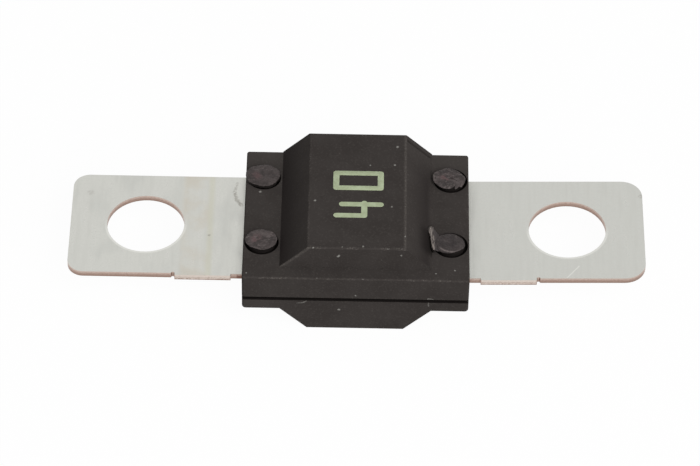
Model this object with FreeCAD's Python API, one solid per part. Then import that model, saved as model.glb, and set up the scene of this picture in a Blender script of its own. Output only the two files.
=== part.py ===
import FreeCAD, Part
import math
import os

# Bolt-down strip fuse: a stamped strip clamped between two moulded housing halves.
# Millimetres and degrees. X runs along the strip, Y towards the rear, Z up.
# The origin lies on the flat underside of the lower block, straight below the
# middle point between the two stud holes.

# Fuse strip
stud_pitch = 30.0
stud_hole_diameter = 5.5
left_tab_end_margin = 5.35
right_tab_end_margin = 5.45
strip_width = 9.6
strip_thickness = 0.45
left_tab_corner_radius = 1.15
right_tab_corner_radius = 1.5
stub_from_housing = 0.85
stub_length = 3.95
stub_height = 0.18
stub_notch_radius = 0.12
bend_from_housing = 0.3
right_tab_lift = 1.5

# Melting link, inside the arc chamber
link_width = 1.9
link_corner_radius = 1.2
link_shoulder_inset = 0.25
waist_width = 1.1
waist_radius = 1.3

# Housing, both halves
block_base_width = 10.7
block_height = 1.95
lower_block_height = 1.71
slope_angle = 45.0
front_ledge = 1.1
strip_side_wall = 0.9
plate_thickness = 1.95
flange_thickness = 1.04
seam_gap = 0.3
chamber_wall = 1.2
corner_radius = 0.18
edge_radius = 0.12
flange_corner_radius = 0.35

# Groove down the upper block's right slope, beside its rear edge
groove_from_rear = 0.35
groove_width = 0.25
groove_depth = 0.22

# Staked pins
pin_diameter = 1.7
pin_from_strip_edge = 1.6
pins_forward = 0.15
head_foot_diameter = 1.9
head_diameter = 2.0
head_recess_depth = 0.7
head_rise = 0.24
head_edge_radius = 0.1
recess_wall = 0.1

# Clearances
head_clearance = 0.2
pin_clearance = 0.05
strip_pin_clearance = 0.1
strip_side_clearance = 0.1

# Plan of the housing, worked out from the pins and the strip
head_recess_radius = head_diameter / 2 + head_clearance
pin_x = block_base_width / 2 + recess_wall + head_recess_radius
pin_y = strip_width / 2 - pin_from_strip_edge
housing_half_width = pin_x + head_recess_radius + recess_wall
block_depth = strip_width + 2 * strip_side_wall
housing_rear = block_depth / 2
housing_front = -block_depth / 2 - front_ledge

# Levels, from the underside up
flange_bottom = lower_block_height
flange_top = flange_bottom + flange_thickness
strip_bottom = flange_top
strip_top = strip_bottom + strip_thickness
plate_bottom = flange_top + seam_gap
plate_top = plate_bottom + plate_thickness
block_top = plate_top + block_height
head_seat = plate_top - head_recess_depth
head_top = plate_top + head_rise

# Arc chamber plan: one wall inside the pins and inside the block's front and rear
chamber_half_length = pin_x - pin_diameter / 2 - pin_clearance - chamber_wall
chamber_half_depth = block_depth / 2 - chamber_wall

# Strip plan
strip_left = -stud_pitch / 2 - left_tab_end_margin
strip_right = stud_pitch / 2 + right_tab_end_margin
bend_x = housing_half_width + bend_from_housing
stub_start = housing_half_width + stub_from_housing
link_half_length = chamber_half_length - link_shoulder_inset


def slab(x_from, x_to, y_from, y_to, z_from, z_to):
    """A box between two corners."""
    corner = FreeCAD.Vector(x_from, y_from, z_from)
    return Part.makeBox(x_to - x_from, y_to - y_from, z_to - z_from, corner)


def section_along_y(points, y_from, y_to):
    """An outline of (x, z) points, extruded from front to rear."""
    corners = [FreeCAD.Vector(x, y_from, z) for x, z in points]
    outline = Part.makePolygon(corners + corners[:1])
    return Part.Face(outline).extrude(FreeCAD.Vector(0, y_to - y_from, 0))


def slope_x(rise, outside=0):
    """Half width of a block at a height above its base, on its slope or moved out from it."""
    slope = math.radians(slope_angle)
    return block_base_width / 2 - rise / math.tan(slope) + outside / math.sin(slope)


def post(diameter, x, y, z_from, z_to):
    """An upright round bar, used for pins and for the holes they go through."""
    foot = FreeCAD.Vector(x, y, z_from)
    return Part.makeCylinder(diameter / 2, z_to - z_from, foot)


def upright_edges(solid, keep):
    """The straight upright edges whose (x, y) place passes the test keep."""
    found = []
    for edge in solid.Edges:
        start, end = edge.Vertexes[0].Point, edge.Vertexes[-1].Point
        upright = abs(start.x - end.x) < 1e-6 and abs(start.y - end.y) < 1e-6
        if upright and abs(start.z - end.z) > 1e-6 and keep(start.x, start.y):
            found.append(edge)
    return found


def level_edges(solid, z, keep):
    """The edges at height z whose middle point passes the test keep."""
    found = []
    for edge in solid.Edges:
        heights = [vertex.Point.z for vertex in edge.Vertexes]
        middle = edge.CenterOfMass
        if all(abs(height - z) < 1e-6 for height in heights) and keep(middle.x, middle.y):
            found.append(edge)
    return found


def pin_places():
    """The four (x, y) places of the staked pins, which stand a little towards the front."""
    return [(x, y - pins_forward) for x in (-pin_x, pin_x) for y in (-pin_y, pin_y)]


def strip_blank():
    """The punched outline, with the right tab bent up a little at the housing."""
    plan = slab(strip_left, strip_right, -strip_width / 2, strip_width / 2, 0, block_top)
    plan = plan.makeFillet(left_tab_corner_radius, upright_edges(plan, lambda x, y: x < 0))
    plan = plan.makeFillet(right_tab_corner_radius, upright_edges(plan, lambda x, y: x > 0))
    for side in (-1, 1):
        inner, outer = sorted((side * stub_start, side * (stub_start + stub_length)))
        stub = slab(inner, outer, -strip_width / 2 - stub_height, -strip_width / 4, 0, block_top)
        notch_x = side * (stub_start + stub_length + stub_notch_radius)
        notch = post(2 * stub_notch_radius, notch_x, -strip_width / 2, 0, block_top)
        plan = plan.fuse(stub).cut(notch)
    plan = plan.removeSplitter()

    lift = math.radians(right_tab_lift)
    reach = stud_pitch
    rise = (reach - bend_x) * math.tan(lift)
    mitre = strip_thickness * math.tan(lift / 2)
    slant_thickness = strip_thickness / math.cos(lift)
    side_view = section_along_y(
        [
            (-reach, strip_bottom),
            (bend_x, strip_bottom),
            (reach, strip_bottom + rise),
            (reach, strip_bottom + rise + slant_thickness),
            (bend_x - mitre, strip_top),
            (-reach, strip_top),
        ],
        -strip_width,
        strip_width,
    )
    return plan.common(side_view)


def link_window():
    """The cut-out behind the link: square at the strip's edge, rounded beside the link."""
    window = slab(-link_half_length, link_half_length, link_width / 2, strip_width, 0, block_top)
    beside_link = upright_edges(window, lambda x, y: y < link_width)
    window = window.makeFillet(link_corner_radius, beside_link)
    notch = post(2 * waist_radius, 0, waist_width / 2 + waist_radius, 0, block_top)
    return window.fuse(notch)


def fuse_strip():
    """One stamping: two tabs, their stud holes, the pin holes and the melting link."""
    strip = strip_blank()
    for x in (-stud_pitch / 2, stud_pitch / 2):
        strip = strip.cut(post(stud_hole_diameter, x, 0, 0, block_top))
    for x, y in pin_places():
        hole_diameter = pin_diameter + 2 * strip_pin_clearance
        strip = strip.cut(post(hole_diameter, x, y, 0, block_top))
    rear_window = link_window()
    front_window = rear_window.mirror(FreeCAD.Vector(0, 0, 0), FreeCAD.Vector(0, 1, 0))
    return strip.cut(rear_window).cut(front_window)


def upper_shell():
    """Plate and raised block, with their moulded edges rounded."""
    plate = slab(
        -housing_half_width, housing_half_width, housing_front, housing_rear, plate_bottom, plate_top
    )
    plate = plate.makeFillet(corner_radius, upright_edges(plate, lambda x, y: True))
    plate = plate.makeFillet(edge_radius, level_edges(plate, plate_top, lambda x, y: True))
    block = section_along_y(
        [
            (-slope_x(0), plate_top),
            (-slope_x(0), plate_bottom),
            (slope_x(0), plate_bottom),
            (slope_x(0), plate_top),
            (slope_x(block_height), block_top),
            (-slope_x(block_height), block_top),
        ],
        -block_depth / 2,
        block_depth / 2,
    )
    block = block.makeFillet(edge_radius, level_edges(block, block_top, lambda x, y: True))
    return plate.fuse(block)


def slope_groove():
    """A shallow groove from the foot of the right slope to just below its ridge."""
    groove_rise = block_height - edge_radius
    groove_rear = housing_rear - groove_from_rear
    return section_along_y(
        [
            (slope_x(0, -groove_depth), plate_top),
            (slope_x(0, groove_depth), plate_top),
            (slope_x(groove_rise, groove_depth), plate_top + groove_rise),
            (slope_x(groove_rise, -groove_depth), plate_top + groove_rise),
        ],
        groove_rear - groove_width,
        groove_rear,
    )


def upper_chamber():
    """The arc chamber above the strip: one wall inside the block's own outline."""
    half_base = slope_x(0, -chamber_wall)
    half_roof = slope_x(block_height - chamber_wall, -chamber_wall)
    knee = plate_top - (chamber_half_length - half_base) * math.tan(math.radians(slope_angle))
    return section_along_y(
        [
            (-chamber_half_length, plate_bottom),
            (chamber_half_length, plate_bottom),
            (chamber_half_length, knee),
            (half_roof, block_top - chamber_wall),
            (-half_roof, block_top - chamber_wall),
            (-chamber_half_length, knee),
        ],
        -chamber_half_depth,
        chamber_half_depth,
    )


def strip_seat():
    """The shallow channel that takes the strip's upper part."""
    half_width = strip_width / 2 + strip_side_clearance
    reach = housing_half_width + edge_radius
    return slab(-reach, reach, -half_width, half_width, plate_bottom, strip_top)


def upper_housing():
    """The cover: shell, groove, chamber, strip seat and four stepped pin holes."""
    cover = upper_shell().removeSplitter()
    cover = cover.cut(slope_groove()).cut(upper_chamber()).cut(strip_seat())
    for x, y in pin_places():
        cover = cover.cut(post(pin_diameter + 2 * pin_clearance, x, y, plate_bottom, plate_top))
        cover = cover.cut(post(2 * head_recess_radius, x, y, head_seat, block_top))
    return cover


def lower_shell():
    """Flange and lower block, of one section; the underside is as wide as the block's top."""
    half_base = slope_x(block_height - lower_block_height)
    half_underside = slope_x(block_height)
    shell = section_along_y(
        [
            (-housing_half_width, flange_top),
            (housing_half_width, flange_top),
            (housing_half_width, flange_bottom),
            (half_base, flange_bottom),
            (half_underside, 0),
            (-half_underside, 0),
            (-half_base, flange_bottom),
            (-housing_half_width, flange_bottom),
        ],
        housing_front,
        housing_rear,
    )
    shell = shell.makeFillet(corner_radius, upright_edges(shell, lambda x, y: True))
    outer_edges = level_edges(shell, flange_bottom, lambda x, y: abs(x) > pin_x)
    side_edges = [edge for edge in outer_edges if edge.Length > block_depth / 2]
    return shell.makeFillet(flange_corner_radius, side_edges)


def lower_chamber():
    """The arc chamber below the strip, open at the top."""
    half_mouth = slope_x(block_height - flange_top, -chamber_wall)
    half_floor = slope_x(block_height - chamber_wall, -chamber_wall)
    return section_along_y(
        [
            (-half_mouth, flange_top),
            (half_mouth, flange_top),
            (half_floor, chamber_wall),
            (-half_floor, chamber_wall),
        ],
        -chamber_half_depth,
        chamber_half_depth,
    )


def staked_pin(x, y):
    """A pin with its melted head, which is widest at its top and rounded over."""
    pin = post(pin_diameter, x, y, flange_top - flange_thickness / 2, head_seat)
    seat = FreeCAD.Vector(x, y, head_seat)
    head = Part.makeCone(head_foot_diameter / 2, head_diameter / 2, head_top - head_seat, seat)
    head = head.makeFillet(head_edge_radius, level_edges(head, head_top, lambda x, y: True))
    return pin.fuse(head)


def lower_housing():
    """The base: shell, chamber and the four pins that hold the fuse together."""
    base = lower_shell().cut(lower_chamber())
    for x, y in pin_places():
        base = base.fuse(staked_pin(x, y))
    return base.removeSplitter()


os.makedirs("parts", exist_ok=True)
fuse_strip().exportStep("parts/fuse_strip.step")
upper_housing().exportStep("parts/upper_housing.step")
lower_housing().exportStep("parts/lower_housing.step")
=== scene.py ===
import math

import bmesh
import bpy
from mathutils import Matrix, Vector


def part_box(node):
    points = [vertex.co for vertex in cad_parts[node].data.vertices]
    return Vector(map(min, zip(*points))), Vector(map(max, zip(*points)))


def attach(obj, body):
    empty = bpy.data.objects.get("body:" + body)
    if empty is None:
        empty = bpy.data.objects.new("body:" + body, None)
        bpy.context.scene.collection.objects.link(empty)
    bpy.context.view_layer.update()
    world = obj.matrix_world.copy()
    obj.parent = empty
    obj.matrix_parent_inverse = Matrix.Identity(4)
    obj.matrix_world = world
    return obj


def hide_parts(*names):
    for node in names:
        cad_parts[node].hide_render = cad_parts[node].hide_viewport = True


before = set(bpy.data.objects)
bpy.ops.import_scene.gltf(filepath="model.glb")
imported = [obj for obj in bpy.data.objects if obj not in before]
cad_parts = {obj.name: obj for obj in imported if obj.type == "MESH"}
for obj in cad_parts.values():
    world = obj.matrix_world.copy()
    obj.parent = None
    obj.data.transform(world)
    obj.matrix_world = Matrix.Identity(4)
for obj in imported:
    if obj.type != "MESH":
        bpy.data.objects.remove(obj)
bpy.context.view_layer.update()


# Fuse strip
# A stamping of thin tinned copper strip. The punch leaves bare copper on its edges, with the
# upper rim rolled over, and only the stubs in front keep the tinned edge of the raw strip.
# The two halves of the housing clamp it, so only the tabs and stubs show.

MM = 0.001
strip_thickness = 0.45
bend_x = 8.25
tab_lift = math.radians(1.5)
rollover = 0.045 * MM
stud_x, stud_hole_radius = 15.0, 2.75
hole_highlight_inside, hole_highlight_outside = 0.1, 0.16
stub_front_y = -4.9
stub_from_x, stub_to_x = 8.85, 12.7
pressed_from_x, pressed_to_x = -12.4, -10.5
pressed_line_x = (-10.6, -10.2)
merge_reach = 0.0005 * MM
flat_angle = math.radians(0.4)
smooth_angle = math.radians(35)
level_normal, upright_normal = 0.99, 0.1
scuff_strokes = [
    ((-8.62, 4.2, 3.2), (-8.78, 3.3, 3.2), 0.2, 0.7),
    ((-8.78, 3.3, 3.2), (-8.62, 2.55, 3.2), 0.26, 1.0),
    ((-8.62, 2.55, 3.2), (-8.26, 2.0, 3.2), 0.3, 1.0),
]
scuff_spots = [
    ((-19.1, 3.0, 3.2), 0.22, 0.9, 0.5),
    ((-10.45, -1.04, 3.2), 0.1, 0.4, 1.0),
    ((20.36, 3.3, 3.5), 0.2, 0.4, 0.6),
]
scratch_start, scratch_end, scratch_width = (14.9, -4.7, 3.37), (15.75, -3.6, 3.39), 0.08
notch_shade_from_x = -8.38

tin = (205, 205, 199)
tin_grey = (192, 193, 188)
tin_streak = (190, 190, 184)
tin_warm = (197, 191, 178)
tin_yellow = (196, 194, 172)
scuff_grey = (132, 127, 118)
scratch_and_highlight_white = (232, 232, 226)
copper_light = (200, 180, 169)
copper_mid = (167, 142, 131)
copper_dark = (146, 122, 109)
copper_painted_shade = (116, 84, 74)
raw_edge_tin = (216, 204, 194)
raw_edge_torn = (186, 168, 158)


def srgb(colour):
    """A colour of 0 to 255 as it looks, turned into the linear values that a shader takes."""
    linear = []
    for value in colour:
        share = value / 255
        linear.append(share / 12.92 if share <= 0.04045 else ((share + 0.055) / 1.055) ** 2.4)
    return (*linear, 1.0)


def only(piece):
    """Selects this piece alone and makes it the active one."""
    bpy.ops.object.select_all(action="DESELECT")
    piece.select_set(True)
    bpy.context.view_layer.objects.active = piece


def select_edges(piece, wanted):
    """In edit mode, selects the edges that pass the test, and nothing else."""
    bpy.ops.mesh.select_mode(type="EDGE")
    bpy.ops.mesh.select_all(action="DESELECT")
    shape = bmesh.from_edit_mesh(piece.data)
    shape.normal_update()
    for edge in shape.edges:
        if wanted(edge):
            edge.select = True
    shape.select_flush_mode()
    bmesh.update_edit_mesh(piece.data)


def select_faces(piece, wanted):
    """In edit mode, selects the faces that pass the test, and nothing else."""
    bpy.ops.mesh.select_mode(type="FACE")
    bpy.ops.mesh.select_all(action="DESELECT")
    shape = bmesh.from_edit_mesh(piece.data)
    shape.normal_update()
    for face in shape.faces:
        if wanted(face):
            face.select = True
    shape.select_flush_mode()
    bmesh.update_edit_mesh(piece.data)


def new_material(name):
    """A node material: its node tree and its principled shader."""
    made = bpy.data.materials.new(name)
    made.use_nodes = True
    return made, made.node_tree, made.node_tree.nodes["Principled BSDF"]


def feed(tree, socket, value):
    """Links an output to a socket, or sets the socket to a plain value."""
    if isinstance(value, bpy.types.NodeSocket):
        tree.links.new(value, socket)
    else:
        socket.default_value = value


def add(tree, kind, *inputs, **settings):
    """Adds a node with these properties and feeds its first sockets in order."""
    node = tree.nodes.new("ShaderNode" + kind)
    for name, value in settings.items():
        setattr(node, name, value)
    for socket, value in zip(node.inputs, inputs):
        feed(tree, socket, value)
    return node


def maths(tree, operation, *inputs, clamp=False):
    """A sum, product or other operation on numbers."""
    return add(tree, "Math", *inputs, operation=operation, use_clamp=clamp).outputs[0]


def product(tree, *factors):
    """Several masks or numbers multiplied."""
    result = factors[0]
    for factor in factors[1:]:
        result = maths(tree, "MULTIPLY", result, factor)
    return result


def most(tree, *masks):
    """The largest of several masks."""
    result = masks[0]
    for mask in masks[1:]:
        result = maths(tree, "MAXIMUM", result, mask)
    return result


def swing(tree, value, amount):
    """Noise turned into a change of up to about a fifth of the amount either way."""
    return maths(tree, "MULTIPLY", maths(tree, "SUBTRACT", value, 0.5), amount)


def place_in_mm(tree):
    """The point on the surface, in millimetres in the part's own frame, and its X, Y and Z."""
    coordinates = add(tree, "TexCoord").outputs["Object"]
    place = add(tree, "VectorMath", coordinates, (1 / MM,) * 3, operation="MULTIPLY").outputs[0]
    return place, *add(tree, "SeparateXYZ", place).outputs[:]


def ramp(tree, value, start, end):
    """0 before start and 1 past end, with a soft change between; start may be the larger."""
    node = add(tree, "MapRange", value, start, end, 0.0, 1.0, interpolation_type="SMOOTHSTEP")
    return node.outputs[0]


def band(tree, value, low, high, soft):
    """1 where the value lies between low and high, fading out over soft."""
    rise = ramp(tree, value, low - soft, low + soft)
    fall = ramp(tree, value, high + soft, high - soft)
    return product(tree, rise, fall)


def grain(tree, place, size, detail=3.0, stretch=(1, 1, 1), roughness=0.55):
    """Soft noise from about 0.3 to 0.7, with spots of this size in millimetres."""
    stretched = add(tree, "VectorMath", place, stretch, operation="DIVIDE").outputs[0]
    node = add(tree, "TexNoise", stretched)
    feed(tree, node.inputs["Scale"], 1 / size)
    feed(tree, node.inputs["Detail"], detail)
    feed(tree, node.inputs["Roughness"], roughness)
    return node.outputs[0]


def spot(tree, place, centre, radius, soft=0.4):
    """1 inside a ball round a point, fading out over a share of its radius."""
    reach = add(tree, "VectorMath", place, centre, operation="DISTANCE").outputs["Value"]
    return ramp(tree, reach, radius * (1 + soft), radius * (1 - soft))


def upright_distance(tree, place, axis):
    """How far a point is from an upright line at this (x, y) place."""
    level = add(tree, "VectorMath", place, (1, 1, 0), operation="MULTIPLY").outputs[0]
    return add(tree, "VectorMath", level, (*axis, 0), operation="DISTANCE").outputs["Value"]


def stroke(tree, place, start, end, width):
    """1 along a straight line between two points, as wide as given."""
    run = Vector(end) - Vector(start)
    offset = add(tree, "VectorMath", place, tuple(start), operation="SUBTRACT").outputs[0]
    along = add(tree, "VectorMath", offset, tuple(run), operation="DOT_PRODUCT").outputs["Value"]
    share = maths(tree, "DIVIDE", along, run.length_squared, clamp=True)
    foot = add(tree, "VectorMath", operation="SCALE")
    feed(tree, foot.inputs[0], tuple(run))
    feed(tree, foot.inputs["Scale"], share)
    reach = add(tree, "VectorMath", offset, foot.outputs[0], operation="DISTANCE").outputs["Value"]
    return ramp(tree, reach, width * 0.75, width * 0.25)


def tint(tree, factor, below, above):
    """Goes from the first colour to the second as the factor goes from 0 to 1."""
    node = add(tree, "Mix", factor, data_type="RGBA")
    for socket, value in ((node.inputs[6], below), (node.inputs[7], above)):
        feed(tree, socket, srgb(value) if isinstance(value, tuple) else value)
    return node.outputs[2]


def relief(tree, shader, height, depth, strength=0.7):
    """Bumps of this depth in metres where the height goes from 0 to 1."""
    bump = add(tree, "Bump")
    feed(tree, bump.inputs["Strength"], strength)
    feed(tree, bump.inputs["Distance"], depth)
    feed(tree, bump.inputs["Height"], height)
    feed(tree, shader.inputs["Normal"], bump.outputs[0])


def tinned_copper():
    """Dull tin on the faces, bare copper on the punched edges and round the holes, a painted
    highlight on each hole's front rim and painted shade on the copper wall beside the housing's
    left end.
    """
    material, tree, shader = new_material("tinned_copper")
    place, x, y, z = place_in_mm(tree)
    facing = add(tree, "NewGeometry").outputs["Normal"]
    upward = maths(tree, "ABSOLUTE", add(tree, "SeparateXYZ", facing).outputs["Z"])

    clouds = grain(tree, place, 2.6)
    rolled = grain(tree, place, 0.28, detail=4.0, stretch=(1, 12, 1))
    fine = grain(tree, place, 0.16, detail=2.0)

    smudged = ramp(tree, grain(tree, place, 1.7, detail=4.0, stretch=(1, 2.0, 1)), 0.46, 0.72)
    right_tab = product(tree, maths(tree, "GREATER_THAN", x, 0.0), 0.35)
    colour = tint(tree, most(tree, product(tree, smudged, 0.5), right_tab), tin, tin_grey)
    streaks = product(tree, ramp(tree, rolled, 0.42, 0.7), 0.3)
    speckle = product(tree, ramp(tree, fine, 0.45, 0.65), 0.25)
    colour = tint(tree, most(tree, streaks, speckle), colour, tin_streak)
    pressed = band(tree, x, pressed_from_x, pressed_to_x, 0.25)
    pressed = product(tree, pressed, ramp(tree, clouds, 0.35, 0.6))
    colour = tint(tree, product(tree, pressed, 0.65), colour, tin_warm)
    pressed_line = band(tree, x, *pressed_line_x, 0.16)
    colour = tint(tree, product(tree, pressed_line, 0.4), colour, tin_yellow)

    marks = [
        product(tree, stroke(tree, place, start, end, width), share)
        for start, end, width, share in scuff_strokes
    ]
    marks += [
        product(tree, spot(tree, place, centre, radius, soft), share)
        for centre, radius, soft, share in scuff_spots
    ]
    scuffs = product(tree, most(tree, *marks), ramp(tree, fine, 0.34, 0.58))
    colour = tint(tree, product(tree, scuffs, 0.6), colour, scuff_grey)
    # Painted highlight: a pale ring on the front half of each hole's rim, where the rolled edge
    # catches the light.
    beside_holes = [upright_distance(tree, place, (side * stud_x, 0.0)) for side in (-1, 1)]
    from_hole = maths(tree, "MINIMUM", *beside_holes)
    rim_from = stud_hole_radius - hole_highlight_inside
    rim_to = stud_hole_radius + hole_highlight_outside
    hole_rim_highlight = band(tree, from_hole, rim_from, rim_to, 0.06)
    hole_rim_highlight = product(tree, hole_rim_highlight, ramp(tree, y, 0.6, -1.0), 0.5)
    colour = tint(tree, hole_rim_highlight, colour, scratch_and_highlight_white)
    scratch = stroke(tree, place, scratch_start, scratch_end, scratch_width)
    colour = tint(tree, product(tree, scratch, 0.5), colour, scratch_and_highlight_white)

    past_bend = maths(tree, "MAXIMUM", maths(tree, "SUBTRACT", x, bend_x), 0.0)
    tab_rise = product(tree, past_bend, math.tan(tab_lift))
    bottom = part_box("fuse_strip")[0].z / MM
    height = maths(tree, "SUBTRACT", maths(tree, "SUBTRACT", z, bottom), tab_rise)
    height = maths(tree, "DIVIDE", height, strip_thickness)
    wavy = maths(tree, "ADD", height, swing(tree, fine, 0.6))
    # The copper walls go from dark at the foot to pale at the top: partly the punch's rough and
    # burnished zones, partly painted shade below and a painted highlight above.
    edge_colour = tint(tree, ramp(tree, wavy, 0.0, 0.5), copper_dark, copper_mid)
    edge_colour = tint(tree, ramp(tree, wavy, 0.45, 0.95), edge_colour, copper_light)
    # Painted shade: the copper wall between the left stub and the housing is darkened toward its
    # foot.
    left_notch_shade = product(
        tree,
        band(tree, x, notch_shade_from_x, 0.0, 0.07),
        maths(tree, "LESS_THAN", y, 0.0),
        ramp(tree, wavy, 0.9, 0.6),
    )
    edge_colour = tint(tree, product(tree, left_notch_shade, 0.85), edge_colour, copper_painted_shade)
    raw_edge = maths(tree, "LESS_THAN", y, stub_front_y)
    inside_stub = band(tree, maths(tree, "ABSOLUTE", x), stub_from_x, stub_to_x, 0.03)
    raw_edge = product(tree, raw_edge, inside_stub)
    raw_tin = product(tree, raw_edge, ramp(tree, wavy, 0.1, 0.3))
    edge_colour = tint(tree, raw_tin, edge_colour, raw_edge_tin)
    torn = product(tree, raw_edge, band(tree, wavy, 0.38, 0.56, 0.1))
    edge_colour = tint(tree, torn, edge_colour, raw_edge_torn)

    worn = maths(tree, "ADD", upward, swing(tree, fine, 0.5))
    covered = ramp(tree, worn, 0.72, 0.9)
    feed(tree, shader.inputs["Base Color"], tint(tree, covered, edge_colour, colour))
    feed(tree, shader.inputs["Metallic"], maths(tree, "ADD", 0.94, product(tree, covered, 0.06)))
    dull = maths(tree, "ADD", 0.3, product(tree, smudged, 0.06))
    dull = maths(tree, "ADD", dull, swing(tree, rolled, 0.16))
    rim = band(tree, upward, 0.25, 0.97, 0.02)
    dull = maths(tree, "ADD", dull, product(tree, rim, 0.22))
    feed(tree, shader.inputs["Roughness"], dull)

    bumps = maths(tree, "ADD", rolled, product(tree, fine, 0.6))
    bumps = maths(tree, "SUBTRACT", bumps, product(tree, scuffs, 2.0))
    relief(tree, shader, bumps, 0.005 * MM, strength=0.5)
    return material


def punched_rim(edge):
    """True on a rim between the strip's upper face and one of its walls."""
    if len(edge.link_faces) != 2:
        return False
    lower, upper = sorted(face.normal.z for face in edge.link_faces)
    return upper > level_normal and abs(lower) < upright_normal


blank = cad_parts["fuse_strip"]
strip = bpy.data.objects.new("plated_strip", blank.data.copy())
bpy.context.scene.collection.objects.link(strip)
only(strip)
bpy.ops.mesh.customdata_custom_splitnormals_clear()
bpy.ops.object.mode_set(mode="EDIT")
bpy.ops.mesh.select_all(action="SELECT")
bpy.ops.mesh.remove_doubles(threshold=merge_reach)
bpy.ops.mesh.dissolve_limited(angle_limit=flat_angle)
select_edges(strip, punched_rim)
bpy.ops.mesh.bevel(offset=rollover, segments=2, clamp_overlap=True)
bpy.ops.object.mode_set(mode="OBJECT")
bpy.ops.object.shade_smooth_by_angle(angle=smooth_angle)
bpy.ops.object.mode_set(mode="EDIT")
select_faces(strip, lambda face: abs(face.normal.z) > level_normal)
bpy.ops.mesh.faces_shade_flat()
bpy.ops.object.mode_set(mode="OBJECT")
strip.data.materials.clear()
strip.data.materials.append(tinned_copper())
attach(strip, "root")
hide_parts("fuse_strip")


# Housing halves
# Two mouldings in black filled plastic, with a fine grain and a dull skin. They are the CAD
# solids, closed on the strip with a thin gap between them. Dust and a little lint sit on them.

moulding = (57, 53, 51)
moulding_cloudy = (62, 58, 56)
moulding_pale = (76, 72, 69)
moulding_wear_and_highlight = (98, 93, 89)
moulding_slope_shade = (43, 39, 38)
moulding_painted_shade = (30, 27, 26)
dust_grey = (150, 148, 143)
ridge_x, ridge_z = 3.4, 6.95
slope_foot_x = 5.35
block_half_depth = 5.7
ledge_front_y, ledge_z = -6.8, 5.0
seam_from_z, seam_to_z = 2.75, 3.05
pin_x, pin_rows = 6.65, (-3.35, 3.05)
pin_recess, recess_floor_z = 1.21, 4.3
rear_right_y = (2.2, 4.6)
soft_foot_x = (slope_foot_x - 0.45, slope_foot_x - 0.05)
flash_shade_x = (ridge_x + 0.8, slope_foot_x - 0.3)
flash_shade_y = (-4.5, -2.2)
rear_ledge_y = (3.2, 5.0)
lower_left_x = (-4.5, -7.0)
fleck_spacing = 0.6

dust_on_top = [
    (2.83, 4.41, 0.085),
    (2.65, 2.6, 0.07),
    (0.9, 2.52, 0.05),
    (-2.95, -1.07, 0.075),
    (2.45, -1.56, 0.06),
    (3.49, -1.53, 0.05),
    (3.41, -4.44, 0.06),
    (0.48, -5.48, 0.06),
    (-0.96, -5.55, 0.04),
    (2.21, -5.68, 0.05),
    (-2.98, -5.68, 0.06),
]
dust_on_block_front = [(-1.24, 6.14, 0.075), (-1.17, 6.22, 0.075), (3.14, 6.33, 0.05)]
dust_on_ledge = [
    (5.6, -6.12, 0.055),
    (6.94, -5.77, 0.05),
    (0.52, -6.78, 0.055),
    (-7.64, -6.36, 0.06),
    (-2.71, -6.78, 0.05),
    (-6.89, 1.6, 0.085),
    (-7.8, -3.09, 0.06),
]
dust_on_front = [(0.02, 3.34, 0.06), (-1.14, 1.89, 0.075)]
lint = [
    ((-4.09, 2.49), (-3.63, 2.54), (-3.3, 2.89)),
    ((5.45, 3.09), (5.1, 3.17), (5.14, 2.4)),
]


def dust_specks():
    """Each speck of dust that shows, as a place and a radius in millimetres."""
    specks = [((x, y, ridge_z), radius) for x, y, radius in dust_on_top]
    specks += [((x, -block_half_depth, z), radius) for x, z, radius in dust_on_block_front]
    specks += [((x, y, ledge_z), radius) for x, y, radius in dust_on_ledge]
    specks += [((x, ledge_front_y, z), radius) for x, z, radius in dust_on_front]
    return specks


def ragged_place(tree, place, size, shift):
    """The place moved a little to and fro, which makes the outline of a speck ragged."""
    node = add(tree, "TexNoise", place)
    feed(tree, node.inputs["Scale"], 1 / size)
    colour = node.outputs["Color"]
    offset = add(tree, "VectorMath", colour, (0.5,) * 3, operation="SUBTRACT").outputs[0]
    offset = add(tree, "VectorMath", offset, (shift,) * 3, operation="MULTIPLY").outputs[0]
    return add(tree, "VectorMath", place, offset, operation="ADD").outputs[0]


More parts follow.
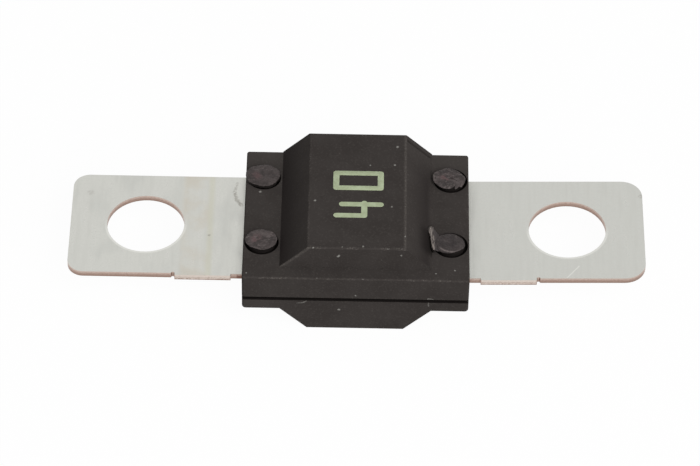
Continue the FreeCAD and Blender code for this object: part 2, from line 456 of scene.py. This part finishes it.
def dusty_plastic(name, roughness):
    """Black moulded plastic with fine grain, pale dust, a little lint, and edges paler from rubbing
    and a painted highlight.

    The slopes get painted shade toward their foot, and the recesses, the seam and the slope beside
    the melt flash get a darker painted shade. The rear ledges and the lower half's left end are a
    little paler.
    """
    material, tree, shader = new_material(name)
    place, x, y, z = place_in_mm(tree)
    clouds = grain(tree, place, 1.9)
    fine = grain(tree, place, 0.13, detail=4.0)

    colour = tint(tree, ramp(tree, clouds, 0.3, 0.7), moulding, moulding_cloudy)
    colour = tint(tree, product(tree, ramp(tree, fine, 0.5, 0.75), 0.6), colour, moulding_pale)

    flecks = add(tree, "TexVoronoi", place, feature="F1")
    feed(tree, flecks.inputs["Scale"], 1 / fleck_spacing)
    size = swing(tree, add(tree, "SeparateColor", flecks.outputs["Color"]).outputs[0], 0.11)
    dust = maths(tree, "LESS_THAN", flecks.outputs["Distance"], size)
    colour = tint(tree, product(tree, dust, 0.28), colour, dust_grey)

    across = maths(tree, "ABSOLUTE", x)
    on_slope = product(
        tree,
        maths(tree, "LESS_THAN", across, slope_foot_x + 0.01),
        maths(tree, "GREATER_THAN", z, ledge_z + 0.01),
        maths(tree, "GREATER_THAN", y, 0.01 - block_half_depth),
    )
    # Painted shade: each slope darkens toward its foot, less so at the right slope's rear and just
    # above the right foot.
    down_slope = ramp(tree, across, ridge_x + 0.1, slope_foot_x)
    rear_right = product(tree, maths(tree, "GREATER_THAN", x, 0.0), ramp(tree, y, *rear_right_y))
    soft_foot = product(tree, ramp(tree, x, *soft_foot_x), 0.8)
    shade_spared = most(tree, rear_right, soft_foot)
    slope_painted_shade = product(tree, on_slope, down_slope, maths(tree, "SUBTRACT", 1.0, shade_spared))
    colour = tint(tree, product(tree, slope_painted_shade, 0.85), colour, moulding_slope_shade)
    # Painted shadow: the slope to the left of the melt flash is darkened where the flash shades it.
    flash_shadow = product(
        tree,
        on_slope,
        ramp(tree, x, *flash_shade_x),
        band(tree, y, *flash_shade_y, 0.4),
    )
    colour = tint(tree, product(tree, flash_shadow, 0.85), colour, moulding_painted_shade)

    below_slopes = maths(tree, "LESS_THAN", z, ledge_z + 0.01)
    rear_ledge = product(tree, ramp(tree, y, *rear_ledge_y), below_slopes)
    colour = tint(tree, product(tree, rear_ledge, 0.35), colour, moulding_pale)
    below_seam = maths(tree, "LESS_THAN", z, seam_from_z)
    lower_left = product(tree, below_seam, ramp(tree, x, *lower_left_x))
    colour = tint(tree, product(tree, lower_left, 0.3), colour, moulding_pale)

    # Rubbed wear and painted highlight: the ridges, the left hip and the ledge's front rim are
    # paler, and the right ridge along its whole length.
    near_top = ramp(tree, z, ridge_z - 0.16, ridge_z - 0.06)
    left_ridge = band(tree, x, -ridge_x - 0.05, -ridge_x + 0.08, 0.05)
    right_ridge = band(tree, x, ridge_x - 0.08, ridge_x + 0.1, 0.08)
    from_middle = maths(tree, "ABSOLUTE", y)
    end_ridge = band(tree, from_middle, block_half_depth - 0.14, block_half_depth + 0.05, 0.07)
    ledge_rim = band(tree, z, ledge_z - 0.1, ledge_z + 0.02, 0.04)
    ledge_rim = product(tree, ledge_rim, ramp(tree, y, ledge_front_y + 0.14, ledge_front_y + 0.06))
    wear_and_highlight = most(tree, product(tree, near_top, most(tree, left_ridge, end_ridge)), ledge_rim)
    broken = ramp(tree, grain(tree, place, 0.12, detail=3.0), 0.44, 0.68)
    patchy = ramp(tree, grain(tree, place, 0.9), 0.38, 0.62)
    wear_and_highlight = product(tree, wear_and_highlight, broken, patchy)
    steady = maths(tree, "ADD", 0.25, product(tree, broken, 0.65))
    wear_and_highlight = most(tree, wear_and_highlight, product(tree, near_top, right_ridge, steady))
    below_ridge = maths(tree, "SUBTRACT", ridge_z, z)
    past_hip = maths(tree, "ADD", maths(tree, "ADD", x, ridge_x), below_ridge)
    hip = product(
        tree,
        band(tree, past_hip, -0.04, 0.28, 0.1),
        ramp(tree, y, 0.1 - block_half_depth, 0.04 - block_half_depth),
        maths(tree, "GREATER_THAN", y, ledge_front_y + 0.01),
        maths(tree, "GREATER_THAN", z, ledge_z + 0.02),
    )
    hip = product(tree, hip, maths(tree, "ADD", 0.3, product(tree, broken, 0.5)))
    wear_and_highlight = most(tree, wear_and_highlight, hip)
    colour = tint(tree, product(tree, wear_and_highlight, 0.75), colour, moulding_wear_and_highlight)

    ragged = ragged_place(tree, place, 0.12, 0.16)
    for centre, radius in dust_specks():
        speck = product(tree, spot(tree, ragged, centre, radius, soft=0.6), 0.8)
        colour = tint(tree, speck, colour, dust_grey)
    for fibre in lint:
        ends = [(along, ledge_front_y, up) for along, up in fibre]
        for start, end in zip(ends, ends[1:]):
            thread = product(tree, stroke(tree, ragged, start, end, 0.07), 0.4)
            colour = tint(tree, thread, colour, dust_grey)

    # Painted shade: the pin recesses and the seam between the two halves are darkened.
    beside_pins = [
        maths(tree, "SUBTRACT", pin_recess, upright_distance(tree, place, (side * pin_x, pin_row)))
        for side in (-1, 1)
        for pin_row in pin_rows
    ]
    recess_shade = product(
        tree,
        maths(tree, "GREATER_THAN", most(tree, *beside_pins), 0.0),
        maths(tree, "GREATER_THAN", z, recess_floor_z - 0.05),
    )
    seam_shade = product(
        tree,
        band(tree, z, seam_from_z - 0.005, seam_to_z + 0.005, 0.004),
        ramp(tree, y, ledge_front_y - 0.02, ledge_front_y + 0.02),
    )
    colour = tint(tree, most(tree, recess_shade, seam_shade), colour, moulding_painted_shade)
    feed(tree, shader.inputs["Base Color"], colour)
    feed(tree, shader.inputs["Specular IOR Level"], 0.015)
    feed(tree, shader.inputs["Roughness"], maths(tree, "ADD", roughness, swing(tree, clouds, 0.2)))
    relief(tree, shader, maths(tree, "ADD", fine, product(tree, dust, 0.6)), 0.01 * MM)
    return material


black_moulding = dusty_plastic("black_moulding", 0.58)
for half in ("upper_housing", "lower_housing"):
    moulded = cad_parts[half]
    moulded.data.materials.clear()
    moulded.data.materials.append(black_moulding)


# Melted pin heads
# The ends of the lower half's four pins, mushroomed over by a hot tool in their recesses in
# the upper half. Each came out differently: lumpy, rough and paler than the moulded skin.

front_row, rear_row = pin_rows
# Each head: its pin, its rim's height, how far it is cut under, and its radii in millimetres,
# evenly spaced and anticlockwise from the right.
heads = {
    "head_left_rear": (
        (-pin_x, rear_row),
        5.27,
        1.0,
        (
            *(1.12, 1.13, 1.1, 1.06, 1.01, 0.98, 0.98, 1.01, 1.06, 1.14, 1.24, 1.26),
            *(1.25, 1.25, 1.23, 1.17, 1.11, 1.11, 1.13, 1.13, 1.11, 1.1, 1.1, 1.1),
        ),
    ),
    "head_left_front": (
        (-pin_x, front_row),
        5.3,
        0.8,
        (
            *(1.07, 1.05, 1.02, 0.98, 0.94, 0.92, 0.91, 0.94, 0.99, 1.04, 1.08, 1.09),
            *(1.11, 1.16, 1.15, 1.05, 0.99, 0.99, 1.04, 1.06, 1.05, 1.04, 1.07, 1.08),
        ),
    ),
    "head_right_rear": (
        (pin_x, rear_row),
        5.28,
        0.8,
        (
            *(1.02, 0.99, 0.95, 0.92, 0.89, 0.88, 0.88, 0.88, 0.9, 0.93, 0.98, 1.02),
            *(1.05, 1.09, 1.13, 1.19, 1.24, 1.26, 1.26, 1.25, 1.24, 1.22, 1.18, 1.16),
            *(1.15, 1.13, 1.11, 1.05, 0.95, 0.87, 0.88, 1.26, 1.12, 1.11, 1.08, 1.05),
        ),
    ),
    "head_right_front": (
        (pin_x, front_row),
        5.28,
        0.85,
        (
            *(0.95, 0.9, 0.86, 0.84, 0.83, 0.84, 0.86, 0.9, 0.96, 1.02, 1.03, 1.05),
            *(1.08, 1.1, 1.12, 1.14, 1.14, 1.06, 0.99, 0.94, 0.94, 0.98, 1.02, 1.0),
        ),
    ),
}
head_wall = 0.3
head_crown = 0.04
head_rim_inset, head_face_inset = 0.07, 0.3
head_growth = 1.045
head_subdivisions = 4
head_skins = [("soft_lumps", 0.5, 0.12), ("rough_skin", 0.16, 0.05)]
reddish_spots = [(-6.95, -3.4), (-7.25, 2.85), (6.3, 3.0)]
head_rim_highlight_reach = (0.87, 0.98)
head_rim_highlight_y, head_rim_highlight_x = (-3.7, -4.1), (7.6, 6.3)

melted_dark = (58, 53, 52)
melted_pale = (82, 75, 74)
melted_smear_and_highlight = (108, 100, 98)
melted_red = (106, 78, 80)
melted_smooth = (49, 45, 45)
pale_torn_highlight = (132, 124, 118)
torn_x, torn_z = (4.9, 5.5), 5.36


def place_mesh(piece):
    """Brings a piece that was modelled in millimetres to metres, with its place in its mesh."""
    only(piece)
    bpy.ops.object.transform_apply(location=True, rotation=True, scale=True)
    piece.scale = (MM,) * 3
    bpy.ops.object.transform_apply(location=False, rotation=False, scale=True)


def apply_modifier(piece, kind, **settings):
    """Adds a modifier with these settings and applies it."""
    only(piece)
    modifier = piece.modifiers.new(kind.lower(), kind)
    for name, value in settings.items():
        setattr(modifier, name, value)
    bpy.ops.object.modifier_apply(modifier=modifier.name)


def lumps(name, size):
    """A cloudy texture that pushes a surface in and out, with lumps of this size."""
    texture = bpy.data.textures.new(name, "CLOUDS")
    texture.noise_scale = size
    texture.noise_depth = 3
    return texture


def melted_plastic():
    """The same plastic after melting: rough, smeared, with paler and reddish patches, painted shade
    on its walls and painted highlights on a rim and on the torn crest.
    """
    material, tree, shader = new_material("melted_plastic")
    place, x, y, z = place_in_mm(tree)
    patches = grain(tree, place, 0.55, detail=3.0)
    smears = grain(tree, place, 0.16, detail=4.0, stretch=(1.8, 1, 1))
    colour = tint(tree, ramp(tree, patches, 0.35, 0.65), melted_dark, melted_pale)
    colour = tint(tree, product(tree, ramp(tree, smears, 0.5, 0.72), 0.7), colour, melted_smear_and_highlight)
    spots = [
        ramp(tree, upright_distance(tree, place, centre), 0.65, 0.1)
        for centre in reddish_spots
    ]
    reddish = product(tree, most(tree, *spots), ramp(tree, patches, 0.4, 0.6))
    colour = tint(tree, product(tree, reddish, 0.5), colour, melted_red)
    smooth = product(tree, maths(tree, "GREATER_THAN", x, 0.0), maths(tree, "LESS_THAN", y, 0.0))
    colour = tint(tree, product(tree, smooth, 0.6), colour, melted_smooth)
    left_rear = product(tree, maths(tree, "LESS_THAN", x, 0.0), maths(tree, "GREATER_THAN", y, 0.0))
    colour = tint(tree, product(tree, left_rear, 0.4), colour, melted_dark)
    # Painted highlight: a pale band on the right front head's front-left rim.
    from_pin = upright_distance(tree, place, (pin_x, front_row))
    head_rim_highlight = product(
        tree,
        smooth,
        band(tree, from_pin, *head_rim_highlight_reach, 0.05),
        ramp(tree, y, *head_rim_highlight_y),
        ramp(tree, x, *head_rim_highlight_x),
    )
    colour = tint(tree, head_rim_highlight, colour, melted_smear_and_highlight)
    # The torn crest of the flash is pale, with a painted highlight along it.
    torn = product(
        tree,
        ramp(tree, z, torn_z - 0.05, torn_z + 0.02),
        band(tree, x, *torn_x, 0.03),
    )
    streaks = ramp(tree, grain(tree, place, 0.09, detail=2.0, stretch=(1, 5, 5)), 0.35, 0.6)
    colour = tint(tree, product(tree, torn, streaks), colour, pale_torn_highlight)
    # Painted shade: the upright and undercut walls of the heads and the flash take the shaded
    # black, except the torn crest.
    upward = add(tree, "SeparateXYZ", add(tree, "NewGeometry").outputs["Normal"]).outputs["Z"]
    walls = maths(tree, "MAXIMUM", ramp(tree, upward, 0.3, 0.65), torn)
    colour = tint(tree, walls, moulding_painted_shade, colour)
    feed(tree, shader.inputs["Base Color"], colour)
    feed(tree, shader.inputs["Specular IOR Level"], 0.12)
    feed(tree, shader.inputs["Roughness"], maths(tree, "ADD", 0.5, swing(tree, patches, 0.5)))
    relief(tree, shader, smears, 0.03 * MM, strength=0.8)
    return material


def melted_head(name, centre, rim_z, undercut, outline):
    """A lumpy cap over one pin.

    The subdivision rounds the corners of the outline off, so each radius is first made larger.
    """
    bpy.ops.object.select_all(action="DESELECT")
    bpy.ops.mesh.primitive_cylinder_add(
        vertices=len(outline),
        radius=1.0,
        depth=head_wall,
        location=(*centre, rim_z - head_wall / 2),
    )
    cap = bpy.context.object
    cap.name = name
    cap.data.name = name
    rounding = head_growth * 6 / (4 + 2 * math.cos(math.tau / len(outline)))
    for vertex in cap.data.vertices:
        turn = math.atan2(vertex.co.y, vertex.co.x) / math.tau * len(outline)
        radius = outline[round(turn) % len(outline)] * rounding
        if vertex.co.z < 0:
            radius *= undercut
        vertex.co.x *= radius
        vertex.co.y *= radius
    bpy.ops.object.mode_set(mode="EDIT")
    select_faces(cap, lambda face: face.normal.z > 0.9)
    bpy.ops.mesh.inset(thickness=head_rim_inset, depth=head_crown)
    bpy.ops.mesh.inset(thickness=head_face_inset, depth=head_crown / 2)
    bpy.ops.mesh.inset(thickness=head_face_inset, depth=0.0)
    select_faces(cap, lambda face: face.normal.z < -0.9)
    bpy.ops.mesh.inset(thickness=head_face_inset, depth=0.0)
    bpy.ops.object.mode_set(mode="OBJECT")
    only(cap)
    bpy.ops.object.transform_apply(location=True, rotation=True, scale=True)
    apply_modifier(
        cap, "SUBSURF", levels=head_subdivisions, render_levels=head_subdivisions
    )
    for skin, size, height in head_skins:
        apply_modifier(cap, "DISPLACE", texture=lumps(skin, size), strength=height, mid_level=0.5)
    place_mesh(cap)
    bpy.ops.object.shade_smooth()
    return cap


melted = melted_plastic()
for name, shape in heads.items():
    head = melted_head(name, *shape)
    head.data.materials.append(melted)
    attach(head, "root")


# Melt flash
# Beside the right front head a thin sheet of the melted plastic ran out of the recess, up the
# foot of the block's slope, and tore off there with a ragged upright edge, pale and with a painted
# highlight. Its shadow on the slope is painted into the housing's material.

# Each row across the sheet, from rear to front: its y, the torn edge's two sides, its end.
flash_rows = [
    (-1.86, 5.12, 5.38, 5.48),
    (-2.05, 5.02, 5.4, 5.52),
    (-2.35, 5.06, 5.37, 5.68),
    (-2.75, 5.17, 5.34, 6.0),
    (-3.21, 5.22, 5.42, 5.9),
    (-3.61, 5.25, 5.44, 5.9),
    (-3.97, 5.27, 5.45, 6.0),
    (-4.2, 5.42, 5.62, 6.15),
]
flash_crest_z, flash_skin_z = 5.42, 5.25
flash_root_reach, flash_root_depth = 0.04, 0.06
flash_crest_fall, flash_skin_fall = 0.03, 0.02
flash_thickness = 0.1
flash_columns = 4
flash_subdivisions = 3
torn_skin_size, torn_skin_height = 0.14, 0.06

bpy.ops.object.select_all(action="DESELECT")
bpy.ops.mesh.primitive_grid_add(
    x_subdivisions=flash_columns, y_subdivisions=len(flash_rows) - 1, size=1.0
)
flash = bpy.context.object
flash.name = "melt_flash"
flash.data.name = "melt_flash"
for vertex in flash.data.vertices:
    column = round((vertex.co.x + 0.5) * flash_columns)
    row = round((0.5 - vertex.co.y) * (len(flash_rows) - 1))
    row_y, torn_from, torn_to, skin_end = flash_rows[row]
    slope_z = ledge_z + max(slope_foot_x - torn_from, 0.0)
    across = [
        (torn_from - flash_root_reach, slope_z - flash_root_depth),
        (torn_from, flash_crest_z),
        (torn_to, flash_crest_z - flash_crest_fall),
        ((torn_to + skin_end) / 2, flash_skin_z),
        (skin_end, flash_skin_z - flash_skin_fall),
    ]
    vertex.co = (across[column][0], row_y, across[column][1])
apply_modifier(flash, "SOLIDIFY", thickness=flash_thickness, offset=-1.0)
apply_modifier(flash, "SUBSURF", levels=flash_subdivisions, render_levels=flash_subdivisions)
torn_skin = lumps("torn_skin", torn_skin_size)
apply_modifier(flash, "DISPLACE", texture=torn_skin, strength=torn_skin_height, mid_level=0.5)
place_mesh(flash)
bpy.ops.object.shade_smooth()
flash.data.materials.append(melted)
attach(flash, "root")


# Printed rating
# The figures 40, pad-printed in pale green across the top of the upper half. Each stroke is a
# thin film of ink with round ends, and the strokes run into each other.

ink_width = 0.43
ink_thickness = 0.012
block_top_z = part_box("upper_housing")[1].z / MM
zero_left, zero_right, zero_front, zero_rear = -1.7, 1.87, 0.02, 1.91
four_stem_y, four_arm_y = -1.38, -2.48
four_bar_x = 0.52
ink_rim = 0.004
stroke_sides, corner_segments = 48, 8
film_smooth_angle = math.radians(30)
four_strokes = [
    ((-1.05, four_stem_y), (1.67, four_stem_y)),
    ((four_bar_x, four_arm_y), (four_bar_x, -1.25)),
    ((-1.43, four_arm_y), (four_bar_x, four_arm_y)),
]
ink_green, ink_pale, ink_thin = (160, 170, 138), (172, 183, 152), (128, 138, 110)


def printing_ink():
    """Pale green ink, a little thin and blotchy over the grain of the plastic."""
    material, tree, shader = new_material("pale_green_ink")
    place = place_in_mm(tree)[0]
    blotches = grain(tree, place, 0.5, detail=3.0)
    thin = ramp(tree, grain(tree, place, 0.12, detail=3.0), 0.6, 0.74)
    colour = tint(tree, ramp(tree, blotches, 0.35, 0.65), ink_green, ink_pale)
    colour = tint(tree, product(tree, thin, 0.45), colour, ink_thin)
    feed(tree, shader.inputs["Base Color"], colour)
    feed(tree, shader.inputs["Specular IOR Level"], 0.3)
    feed(tree, shader.inputs["Roughness"], maths(tree, "ADD", 0.5, swing(tree, blotches, 0.3)))
    relief(tree, shader, blotches, 0.01 * MM)
    return material


def ink_stroke(name, start, end):
    """A straight stroke of ink with round ends."""
    run = Vector(end) - Vector(start)
    bpy.ops.object.select_all(action="DESELECT")
    bpy.ops.mesh.primitive_cylinder_add(
        vertices=stroke_sides,
        radius=ink_width / 2,
        depth=2 * ink_thickness,
        location=(*start, block_top_z),
        rotation=(0, 0, math.atan2(run.y, run.x)),
    )
    film = bpy.context.object
    film.name = name
    for vertex in film.data.vertices:
        if vertex.co.x > 0.0001:
            vertex.co.x += run.length
    bpy.ops.object.transform_apply(location=True, rotation=True, scale=True)
    return film


def ink_block(name, left, right, front, rear, thickness):
    """A film of ink between four straight edges."""
    bpy.ops.object.select_all(action="DESELECT")
    bpy.ops.mesh.primitive_cube_add(
        size=1.0,
        location=((left + right) / 2, (front + rear) / 2, block_top_z),
        scale=(right - left, rear - front, thickness),
    )
    film = bpy.context.object
    film.name = name
    bpy.ops.object.transform_apply(location=True, rotation=True, scale=True)
    return film


zero = ink_block("printed_zero", zero_left, zero_right, zero_front, zero_rear, 2 * ink_thickness)
bpy.ops.object.mode_set(mode="EDIT")
select_edges(zero, lambda edge: abs(edge.verts[0].co.z - edge.verts[1].co.z) > ink_thickness)
bpy.ops.mesh.bevel(offset=ink_width / 2, segments=corner_segments)
bpy.ops.object.mode_set(mode="OBJECT")
inside = ink_block(
    "zero_inside",
    zero_left + ink_width,
    zero_right - ink_width,
    zero_front + ink_width,
    zero_rear - ink_width,
    4 * ink_thickness,
)
apply_modifier(zero, "BOOLEAN", operation="DIFFERENCE", solver="EXACT", object=inside)
bpy.data.objects.remove(inside)

four, *rest = [ink_stroke("printed_four", start, end) for start, end in four_strokes]
for film in rest:
    apply_modifier(four, "BOOLEAN", operation="UNION", solver="EXACT", object=film)
    bpy.data.objects.remove(film)

ink = printing_ink()
for figure in (zero, four):
    apply_modifier(figure, "BEVEL", width=ink_rim, segments=2, limit_method="ANGLE")
    place_mesh(figure)
    figure.data.name = figure.name
    bpy.ops.object.shade_smooth_by_angle(angle=film_smooth_angle)
    figure.data.materials.append(ink)
    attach(figure, "root")


# Studio
# A white table in a pale room, one soft lamp at the front right, and a long lens that looks
# down on the front of the fuse. To the light that bounces off it the table is only grey, so
# the fuse's front walls stay as even as its top.

table_size = 4.0
table_white, table_grey = (245, 245, 245), (125, 125, 125)
table_glow = 0.96
room_strength = 0.33


def seen_directly(tree):
    """1 for rays from the camera, also by a reflection or through glass, and 0 for bounces."""
    rays = add(tree, "LightPath").outputs
    return most(tree, rays["Is Camera Ray"], rays["Is Glossy Ray"], rays["Is Transmission Ray"])


bpy.ops.object.select_all(action="DESELECT")
bpy.ops.mesh.primitive_plane_add(size=table_size, location=(0, 0, 0))
table = bpy.context.object
table.name = "table_top"
table_material, tree, shader = new_material("white_table")
seen = seen_directly(tree)
feed(tree, shader.inputs["Base Color"], tint(tree, seen, table_grey, table_white))
feed(tree, shader.inputs["Roughness"], 0.9)
feed(tree, shader.inputs["Specular IOR Level"], 0.1)
glow = add(tree, "Emission", srgb((255, 255, 255)), 1.0)
lit_share = maths(tree, "MULTIPLY", seen, table_glow)
lifted = add(tree, "MixShader", lit_share, shader.outputs[0], glow.outputs[0])
tree.links.new(lifted.outputs[0], tree.nodes["Material Output"].inputs["Surface"])
table.data.materials.append(table_material)

world = bpy.data.worlds.new("studio")
bpy.context.scene.world = world
world.use_nodes = True
tree = world.node_tree
seen = seen_directly(tree)
room = tree.nodes["Background"]
feed(tree, room.inputs["Color"], (1, 1, 1, 1))
feed(tree, room.inputs["Strength"], room_strength)
backdrop = add(tree, "Background", (1, 1, 1, 1), 1.0)
both = add(tree, "MixShader", seen, room.outputs[0], backdrop.outputs[0])
tree.links.new(both.outputs[0], tree.nodes["World Output"].inputs["Surface"])

lamp_size, lamp_radiance = 1.0, 4.1
lamp_place = Vector((0.36, -0.7, 0.65))

lamp = bpy.data.lights.new("front_right_lamp", "AREA")
lamp.shape = "SQUARE"
lamp.size = lamp_size
lamp.energy = lamp_radiance * math.pi * lamp_size ** 2
lamp_holder = bpy.data.objects.new("front_right_lamp", lamp)
bpy.context.scene.collection.objects.link(lamp_holder)
lamp_holder.location = lamp_place
lamp_holder.rotation_euler = (-lamp_place).to_track_quat("-Z", "Y").to_euler()
lamp_holder.visible_glossy = False

lens_mm = 199.23
sensor_mm = 36.0
camera_place = (-0.386 * MM, -191.949 * MM, 201.278 * MM)
camera_azimuth = math.radians(0.02)
camera_elevation = math.radians(45.986)
camera_roll = math.radians(1.038)

camera_data = bpy.data.cameras.new("photo_camera")
camera_data.sensor_width = sensor_mm
camera_data.lens = lens_mm
camera_data.clip_start = 0.01
camera = bpy.data.objects.new("photo_camera", camera_data)
bpy.context.scene.collection.objects.link(camera)
turned = (
    Matrix.Rotation(camera_azimuth, 3, "Z")
    @ Matrix.Rotation(math.pi / 2 - camera_elevation, 3, "X")
    @ Matrix.Rotation(camera_roll, 3, "Z")
)
camera.rotation_euler = turned.to_euler()
camera.location = camera_place
bpy.context.scene.camera = camera
bpy.context.scene.view_settings.view_transform = "Standard"
